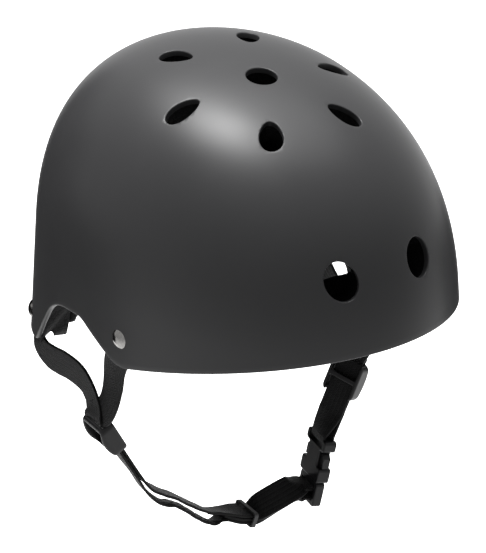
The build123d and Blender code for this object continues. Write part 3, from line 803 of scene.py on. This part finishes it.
def smooth_path(stations, pieces=24):
    """Points and ways across, along a smooth curve through the stations, with the run so far."""
    middles = [Vector(middle) for middle, way in stations]
    ways = [Vector(way).normalized() for middle, way in stations]
    for i in range(1, len(ways)):
        if ways[i].dot(ways[i - 1]) < 0:
            ways[i] = -ways[i]
    befores, afters = [middles[0], *middles[:-1]], [*middles[1:], middles[-1]]
    headings = [(after - before).normalized() for before, after in zip(befores, afters)]
    path = [(middles[0], ways[0], 0.0)]
    for i in range(len(middles) - 1):
        low, high = middles[i], middles[i + 1]
        handle = (high - low).length / 3
        leave, arrive = low + headings[i] * handle, high - headings[i + 1] * handle
        curve = interpolate_bezier(low, leave, arrive, high, pieces + 1)
        for step in range(1, pieces + 1):
            run = path[-1][2] + (curve[step] - path[-1][0]).length
            path.append((curve[step], ways[i].lerp(ways[i + 1], step / pieces), run))
    return path


def ribbon(name, stations):
    """Flat webbing along a path. Each station is a middle and a way across, in millimetres."""
    path = smooth_path(stations)
    runs = [run for middle, way, run in path]
    rows = max(4, round(runs[-1] / webbing_row))
    put_down()
    bpy.ops.mesh.primitive_grid_add(x_subdivisions=8, y_subdivisions=rows, size=1, calc_uvs=True)
    strap = bpy.context.object
    strap.name = name
    strap_map = strap.data.uv_layers[0]
    strap_map.name = "along_strap"
    for corner in strap_map.data:
        corner.uv = (corner.uv.x * webbing_width * MM, corner.uv.y * runs[-1] * MM)
    for vertex in strap.data.vertices:
        goal = (vertex.co.y + 0.5) * runs[-1]
        index = min(max(bisect_left(runs, goal), 1), len(runs) - 1)
        share = (goal - runs[index - 1]) / (runs[index] - runs[index - 1])
        heading = (path[index][0] - path[index - 1][0]).normalized()
        way = path[index - 1][1].lerp(path[index][1], share)
        way = (way - heading * way.dot(heading)).normalized()
        middle = path[index - 1][0].lerp(path[index][0], share)
        vertex.co = (middle + way * vertex.co.x * webbing_width) * MM
    finish_with(strap, "SOLIDIFY", thickness=webbing_thickness * MM, offset=0)
    round_edges(strap, 0.5, 2)
    smooth(strap, 40)
    print(name, "runs for", round(runs[-1], 1), "mm")
    return strap


# %% [markdown]
# ## Where the strap hangs
# The chin strap hangs nearly in one upright plane between the joints at its two sliders. So its points
# are given in that plane, in shares of the span, and each rigid part on it has a small frame whose Z
# runs along the webbing and whose X lies across it.

# %% Frames of the hanging strap
right_joint = Vector((-99.0, -16.0, -52.0))
left_joint = Vector((74.0, -10.0, -75.0))
span_line = Vector((left_joint.x - right_joint.x, left_joint.y - right_joint.y, 0))
span = span_line.length
outward = span_line.normalized()
upward = Vector((0, 0, 1))
facing = upward.cross(outward)


def hanging(along, drop):
    """A point of the strap's upright plane, in shares of the span from the right joint."""
    return right_joint + outward * along * span - upward * drop * span


def leaning(angle):
    """The way down that plane, leaning outwards by an angle."""
    return outward * math.sin(math.radians(angle)) - upward * math.cos(math.radians(angle))


right_frame = framed(right_joint, facing, leaning(26.6))
left_frame = turned(framed(left_joint, facing, -leaning(-25.7)), 20.0)
buckle_frame = turned(framed(hanging(0.8452, 0.5413), facing, -leaning(-13.7)), -11.0)
keeper_frame = framed(hanging(0.5661, 0.5881), facing, leaning(70.0))
buckle_across = buckle_frame.to_3x3() @ Vector((1, 0, 0))
buckle_inwards = buckle_frame.to_3x3() @ Vector((0, 1, 0))


def laid(seat, inward, along):
    """A station in a strap frame, shifted towards the chin and along the strap."""
    return seat @ Vector((0, inward, along)), seat.to_3x3() @ Vector((1, 0, 0))


print("span between the joints:", round(span, 1), "mm")

# %% [markdown]
# ## Harness legs
# A leg is riveted to the shell and ends in a slider, which swings with the chin strap. So each point
# of it follows the shell and the strap in shares that change along its way, as webbing bends.

# %% Harness legs
tab_level = -4.35
tab_stations = (8.0, 0.0, -8.0)
foot_stations = (2.2, 0.2)


def leg(name, side_name, end_name, seat_below, layer, bends):
    """A leg of webbing from its rivet, through its bends, into the slider of its side."""
    seat = rivet_seats[side_name, end_name]
    seat_across = seat.to_3x3() @ Vector((0, 1, 0))
    tab = [(seat @ Vector((station, 0, tab_level)), seat_across) for station in tab_stations]
    back = 1 if seat_below.to_3x3().col[2].z > 0 else -1
    foot = [laid(seat_below, layer * layer_pitch / 2, back * along) for along in foot_stations]
    strap = ribbon(name + "_webbing", [*tab, *bends, *foot])
    hand_over(strap, webbing_weave, "webbing", name)
    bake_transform(strap, "helmet", "chin_strap", start=tab[2][0] * MM, end=foot[0][0] * MM)


leg("right_front_strap", "right", "front", right_frame, 1, [
    ((-95.0, -30.9, -12.1), (0.15, -0.97, 0.2)),
    ((-95.0, -28.1, -26.1), (0.1, -0.98, 0.15)),
    ((-96.5, -26.5, -36.5), (0.05, -0.99, 0.1)),
    ((-98.3, -23.0, -44.5), (0.03, -0.98, -0.2)),
])
leg("right_rear_strap", "right", "rear", right_frame, -1, [
    ((-91.0, 61.5, -44.8), (0, -0.8, 0.6)),
    ((-92.5, 51.2, -47.5), (0, -0.1, 1.0)),
    ((-93.5, 38.7, -45.3), (0, 0.2, 1.0)),
    ((-94.5, 23.7, -41.1), (0, 0.2, 1.0)),
    ((-96.0, 4.5, -38.4), (0, 0.0, 1.0)),
    ((-98.0, -7.5, -40.5), (0, -0.4, 0.9)),
    ((-99.3, -13.5, -45.5), (0, -0.85, 0.5)),
])
leg("left_front_strap", "left", "front", left_frame, 1, [((86.0, -28.0, -32.0), (0.1, -1.0, 0.0))])
leg("left_rear_strap", "left", "rear", left_frame, -1, [((89.0, 36.0, -48.0), (0.0, -0.5, 0.85))])

# %% [markdown]
# ## Chin strap
# Two strands run from the right slider to the keeper. The strap hangs slack in the picture, so they
# twist until they are seen nearly edge-on, and twist back before the keeper.

# %% Chin strands
strand_way = Vector((0.467, 0.731, -0.497))
half_way = (strand_way + facing).normalized()
quarter_way = (strand_way + half_way).normalized()
strand_start = (0.2, 12.0, 24.0)
strand_untwist = -15.5
strand_end = (-8.0, -4.0, 1.1)


def strand(name, layer, bends):
    """A strand from the right slider, through its bends, to the keeper."""
    stations = [laid(right_frame, layer * layer_pitch / 2, along) for along in strand_start]
    ways = [half_way, half_way, quarter_way] + [strand_way] * (len(bends) - 3)
    stations += [(hanging(*bend), way) for bend, way in zip(bends, ways)]
    stations.append((laid(keeper_frame, layer * layer_pitch, strand_untwist)[0], half_way))
    stations += [laid(keeper_frame, layer * layer_pitch, along) for along in strand_end]
    strap = ribbon(name + "_webbing", stations)
    hand_over(strap, webbing_weave, "webbing", name)
    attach(strap, "chin_strap")


strand("inner_chin_strand", 1, (
    (0.1455, 0.2640), (0.1828, 0.3237), (0.2262, 0.3638), (0.2749, 0.4015), (0.3250, 0.4448),
    (0.3756, 0.4867), (0.4229, 0.5194),
))
strand("outer_chin_strand", -1, (
    (0.1340, 0.2680), (0.1684, 0.3344), (0.2019, 0.3787), (0.2360, 0.4098), (0.2744, 0.4348),
    (0.3130, 0.4659), (0.3518, 0.5031), (0.3909, 0.5388), (0.4305, 0.5646),
))

# %% [markdown]
# From the keeper to the buckle the webbing lies double: the adjuster run, and the tail that comes back
# from the ladder. Both are blended, since the tongue draws out of the housing while the keeper stays.

# %% Adjuster and tail
ladder_height = -8.4
ladder_pitch = 2.95
loop_reach = 5.5
adjuster_start = (1.3, 4.0)
adjuster_bends = ((0.6303, 0.5829), (0.7019, 0.5673), (0.7568, 0.5604))
adjuster_twist = 42.0
twist_shares = (0.7, 1.0, 0.7)
tail_tip = -22.0


def adjuster_stations(layer):
    """One layer of the webbing from the keeper to the buckle's tongue, twisted on the way."""
    stations = [laid(keeper_frame, (layer - 1) * layer_pitch / 2, along) for along in adjuster_start]
    spots = [stations[0][0]]
    spots += [hanging(*bend) for bend in adjuster_bends]
    goal = buckle_frame @ Vector((0, loop_reach + 0.2, ladder_height + layer * ladder_pitch))
    spots.append(goal)
    for before, spot, after, share in zip(spots, spots[1:], spots[2:], twist_shares):
        twisted = turned(framed(spot, facing, after - before), share * adjuster_twist)
        stations.append(laid(twisted, layer * layer_pitch / 2, 0))
    stations += [(goal + buckle_inwards * 3.0, buckle_across), (goal, buckle_across)]
    return stations


adjuster = ribbon("adjuster_webbing_run", adjuster_stations(-1))
hand_over(adjuster, webbing_weave, "webbing", "adjuster_webbing")
tail_start = [
    (laid(keeper_frame, 0, tail_tip)[0], strand_way),
    (laid(keeper_frame, 0, strand_untwist)[0], half_way),
]
tail_start += [laid(keeper_frame, 0, along) for along in (-8.0, -3.0)]
tail = ribbon("webbing_tail_run", tail_start + adjuster_stations(1))
hand_over(tail, webbing_weave, "webbing", "webbing_tail")
keeper_exit = (keeper_frame @ Vector((0, 0, 3.0))) * MM
tongue_entry = (buckle_frame @ Vector((0, loop_reach + 3.0, ladder_height))) * MM
for strap in (adjuster, tail):
    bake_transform(strap, "chin_strap", "tongue", start=keeper_exit, end=tongue_entry)


# %% [markdown]
# ## Loops round the bars
# At each end of the buckle the webbing turns round a bar in a half circle, so its stations come from a
# formula, and the strap's flat runs join on before and after.

# %% Loops round the buckle's bars
bar_middle = 25.7
bar_radius = 2.8
bar_entry = 28.7
doubled_start = (-0.2, -18.0, -34.0)
turn_points = [(math.cos(math.pi * s / 12), math.sin(math.pi * s / 12)) for s in range(13)]


def on_buckle(inward, along):
    """A station on the buckle's middle line, shifted towards the chin and along it."""
    return buckle_frame @ Vector((0, inward, along)), buckle_across


loop_stations = [on_buckle(loop_reach, ladder_height + ladder_pitch)]
loop_stations += [on_buckle(-ladder_pitch * s, ladder_height + ladder_pitch * c) for c, s in turn_points]
loop_stations.append(on_buckle(loop_reach, ladder_height - ladder_pitch))
tongue_loop = ribbon("tongue_webbing_loop_turn", loop_stations)
hand_over(tongue_loop, webbing_weave, "webbing", "tongue_webbing_loop")
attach(tongue_loop, "tongue")


def doubled(layer):
    """One layer of the doubled webbing, from the left slider to the housing's bar."""
    run = [laid(left_frame, layer * layer_pitch / 2, along) for along in doubled_start]
    return run + [laid(buckle_frame, layer * bar_radius, bar_entry)]


bar_turn = [on_buckle(bar_radius * c, bar_middle - bar_radius * s) for c, s in turn_points]
housing_loop = ribbon("buckle_webbing_turn", doubled(1) + bar_turn + doubled(-1)[::-1])
hand_over(housing_loop, webbing_weave, "webbing", "buckle_webbing")
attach(housing_loop, "chin_strap")

# %% [markdown]
# ## Strap sliders
# The picture shows that a slider's rails arch outwards, away from the face. The CAD form has the slots
# and bars in their places, so a copy of it is remeshed finely, which also rounds its edges as in a
# moulding, and the outer half is then drawn out into an arch.

# %% Arch the sliders
slider_half_length = 11.75
slider_arch = 0.8


def copy_of(node, name):
    """A new piece with the form of a CAD node in its place, its own object at the origin."""
    piece = bpy.data.objects.new(name, node.data.copy())
    bpy.context.collection.objects.link(piece)
    piece.data.transform(node.matrix_world)
    return piece


def arched_slider(name, seat, middle):
    """A slider with arched rails. Its middle is given along its strap frame."""
    node = frame["nodes"][name]
    slider = copy_of(node, name + "_arched")
    close_up(slider)
    finish_with(slider, "REMESH", mode="VOXEL", voxel_size=0.35 * MM)
    finish_with(slider, "SMOOTH", factor=0.5, iterations=4)
    to_seat = (seat @ Matrix.Translation((0, 0, middle))).inverted()
    to_world = to_seat.inverted()
    for vertex in slider.data.vertices:
        place = to_seat @ (vertex.co / MM)
        if place.y < 0:
            place.y *= 1 + slider_arch * max(0.0, 1 - (place.z / slider_half_length) ** 2)
        vertex.co = (to_world @ place) * MM
    smooth(slider, 50)
    hand_over(slider, buckle_acetal, "buckle_plastic", name)
    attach(slider, body_of(node)[0])


arched_slider("right_strap_slider", right_frame, 0.2 + slider_half_length)
arched_slider("left_strap_slider", left_frame, -0.2 - slider_half_length)

# %% [markdown]
# ## Comfort pads
# The pads are foam in brushed fabric, welded round the edge, so each is fuller in its middle. A cloth
# simulation with a little pressure inside swells them as stuffing does. It needs an even mesh, so each
# pad is remeshed in voxels first. A cap on how far a point may move keeps the pad on the liner.

# %% Swell the pads
pad_shrink = 0.9 * MM
pad_swell = 1.7 * MM
pad_pressure = 4
pad_frames = 20
nape_back, nape_rise = 13.0, 3.0
nape_reach = 104.0
nape_fade_start = 90.0
nape_fade_run = 54.0


def set_back(point, back, rise):
    """A point of the nape, moved back along the dome and up, by millimetres."""
    place = point / MM
    if back:
        place.x *= math.sqrt((nape_reach**2 - (place.y + back) ** 2) / (nape_reach**2 - place.y**2))
    return Vector((place.x, place.y + back, place.z + rise)) * MM


def cushion(name, end_back=0.0, end_rise=0.0):
    """A stuffed pad, from the CAD form of the same name. Its front ends may be set back and up."""
    pad = copy_of(frame["nodes"][name], name + "_cushion")
    close_up(pad)
    finish_with(pad, "REMESH", mode="VOXEL", voxel_size=3.0 * MM)
    finish_with(pad, "DISPLACE", strength=-pad_shrink, mid_level=0)
    if end_back:
        for vertex in pad.data.vertices:
            share = min(max((nape_fade_start - vertex.co.y / MM) / nape_fade_run, 0.0), 1.0)
            vertex.co = set_back(vertex.co, end_back * share, end_rise * share)
    before = [vertex.co.copy() for vertex in pad.data.vertices]
    take_up(pad)
    cloth = pad.modifiers.new("cloth", "CLOTH")
    cloth.settings.use_pressure = True
    cloth.settings.uniform_pressure_force = pad_pressure
    cloth.settings.effector_weights.gravity = 0
    for step in range(1, pad_frames + 1):
        bpy.context.scene.frame_set(step)
    bpy.ops.object.modifier_apply(modifier=cloth.name)
    bpy.context.scene.frame_set(1)
    for vertex, start in zip(pad.data.vertices, before):
        move = vertex.co - start
        if move.length > pad_swell:
            vertex.co = start + move.normalized() * pad_swell
    finish_with(pad, "SUBSURF", levels=1)
    smooth(pad, 60)
    hand_over(pad, pad_tricot, "pad_fabric", name)
    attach(pad, "helmet")


for name in ("brow_pad", "right_side_pad", "left_side_pad", "crown_pad"):
    cushion(name)
cushion("nape_pad", end_back=nape_back, end_rise=nape_rise)

# %% [markdown]
# ### Fasteners of the pads
# The discs lie between pads and liner, flat and thin, so their CAD form is kept. Only the two under
# the nape pad's ends move, together with those ends.

# %% Fastener dots
nape_dots_start, nape_dots_end, nape_dots_top = 42.0 * MM, 66.0 * MM, -20.0 * MM
dots = copy_of(frame["nodes"]["hook_and_loop_dots"], "hook_and_loop_discs")
for vertex in dots.data.vertices:
    if nape_dots_start < vertex.co.y < nape_dots_end and vertex.co.z < nape_dots_top:
        vertex.co = set_back(vertex.co, nape_back, nape_rise)
hand_over(dots, dot_nylon, "hook_and_loop", "hook_and_loop_dots")
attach(dots, "helmet")


# %% [markdown]
# ## Studio
# The helmet is worn on a head, so it hangs in the air here, far above a floor of white paper. The
# floor keeps the helmet's shadow, and glows a little for the rays that show or mirror it.

# %% Floor
floor_level = -0.45
floor_glow = 0.75


def background_rays(tree):
    """One for rays of the camera, of gloss and through clear stuff, and nought for all others."""
    path = add(tree, "ShaderNodeLightPath")
    seen = worked_out(tree, "MAXIMUM", path.outputs["Is Camera Ray"], path.outputs["Is Glossy Ray"])
    return worked_out(tree, "MAXIMUM", seen, path.outputs["Is Transmission Ray"])


put_down()
bpy.ops.mesh.primitive_plane_add(size=40, location=(0, 0, floor_level))
floor = bpy.context.object
floor.name = "studio_floor"
settle(floor)
floor_paper, tree, shader = new_finish("white_paper_sweep", Roughness=0.9)
shader.inputs["Base Color"].default_value = colour("#f4f4f4")
glow_strength = worked_out(tree, "MULTIPLY", background_rays(tree), floor_glow)
glow = add(tree, "ShaderNodeEmission", None, {"Color": colour("#ffffff"), "Strength": glow_strength})
both = add(tree, "ShaderNodeAddShader", None, {0: shader.outputs[0], 1: glow.outputs[0]})
tree.links.new(both.outputs[0], tree.nodes["Material Output"].inputs["Surface"])
floor.data.materials.append(floor_paper)

# %% [markdown]
# Three dark cards stand just out of the picture, behind the helmet and at its side. A photographer
# uses such cards so that a dark, glossy thing doesn't mirror the white studio along its edges.

# %% Dark cards
card_felt, tree, shader = new_finish("black_card", Roughness=1.0)
shader.inputs["Base Color"].default_value = colour("#0c0c0c")
card_right = Vector((math.cos(math.radians(camera_azimuth)), math.sin(math.radians(camera_azimuth)), 0))
card_back = Vector((-card_right.y, card_right.x, 0))
for name, start, end, top in (
    ("rear_left_card", (-0.205, 0.38), (-0.85, 0.38), 0.20),
    ("left_card", (-0.60, 0.36), (-0.60, -0.08), 0.0),
    ("rear_right_card", (0.24, 0.38), (0.85, 0.38), -0.07),
):
    put_down()
    bpy.ops.mesh.primitive_plane_add(size=1)
    card = bpy.context.object
    card.name = name
    corners = [(u, w, z) for z in (floor_level, top) for u, w in (start, end)]
    for vertex, (u, w, z) in zip(card.data.vertices, corners):
        vertex.co = card_right * u + card_back * w + upward * z
    card.visible_camera = card.visible_diffuse = False
    card.visible_transmission = card.visible_shadow = False
    card.data.materials.append(card_felt)

# %% [markdown]
# The world is plain white light. It lights the helmet at under half strength, and rays that look past
# it see full white. A round panel high at the back left draws the broad highlight on the crown.

# %% World and lamps
world_light = 0.42
bpy.context.scene.view_settings.view_transform = "Standard"
world = bpy.context.scene.world or bpy.data.worlds.new("studio")
bpy.context.scene.world = world
world.use_nodes = True
tree = world.node_tree
sky = tree.nodes["Background"]
level = add(tree, "ShaderNodeMapRange", None, {"Value": background_rays(tree), "To Min": world_light})
sky.inputs["Color"].default_value = colour("#ffffff")
tree.links.new(level.outputs[0], sky.inputs["Strength"])


def lamp(name, place, aim, size, power):
    """A large soft panel aimed at a point."""
    put_down()
    turn = (Vector(aim) - Vector(place)).to_track_quat("-Z", "Y").to_euler()
    bpy.ops.object.light_add(type="AREA", location=place, rotation=turn)
    panel = bpy.context.object
    panel.name = name
    panel.data.shape = "DISK"
    panel.data.size = size
    panel.data.energy = power
    print(name, "at", power, "W")


lamp("key_panel", (-0.10, 0.62, 1.42), (-0.03, -0.03, 0.10), 0.5, 44)
lamp("overhead_panel", (0.50, 0.45, 1.45), (0, -0.03, 0.10), 1.1, 14)
